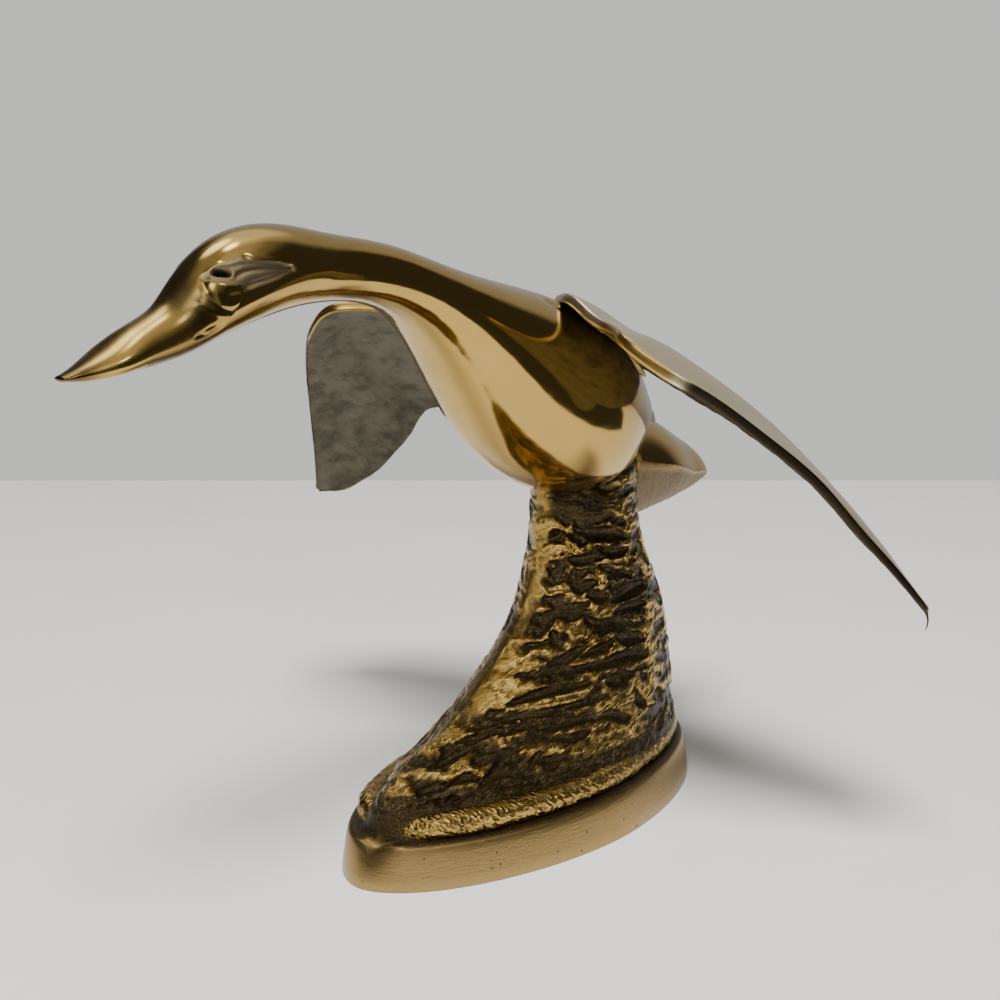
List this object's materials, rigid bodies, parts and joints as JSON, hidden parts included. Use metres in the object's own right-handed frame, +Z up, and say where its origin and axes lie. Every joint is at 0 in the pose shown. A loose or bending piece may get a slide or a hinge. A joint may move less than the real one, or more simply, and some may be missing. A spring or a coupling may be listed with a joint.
{
  "type": "duck figurine",
  "caption": "Brass duck in flight with drooping wings, standing on a leaning, chiselled rock with an oval beaded foot.",
  "frame": {"origin": "on the table plane, midway between the bill tip and the tail tip, on the duck's middle plane", "axes": "+Z up, -X towards the bill (the way the duck flies), -Y towards the duck's left wing"},
  "size_m": [0.2121, 0.191, 0.1511],
  "materials": {
    "rock_brass": "chiselled, darkened in the cuts, polished on the high spots and the foot band",
    "polished_brass": "mirror polish, matte on the tail's sides and underside",
    "wing_brass": "polished on top and along the leading edge, sand-cast texture underneath",
    "braze": "dull, slightly rough bead",
    "hardware_steel": "plain bright steel, not polished"
  },
  "bodies": {
    "root": {"rock_base": "rock_brass", "duck_body": "polished_brass", "left_wing": "wing_brass", "right_wing": "wing_brass", "left_wing_braze": "braze", "right_wing_braze": "braze", "mounting_stud": "hardware_steel", "stud_washer": "hardware_steel", "stud_nut": "hardware_steel"}
  },
  "joints": []
}
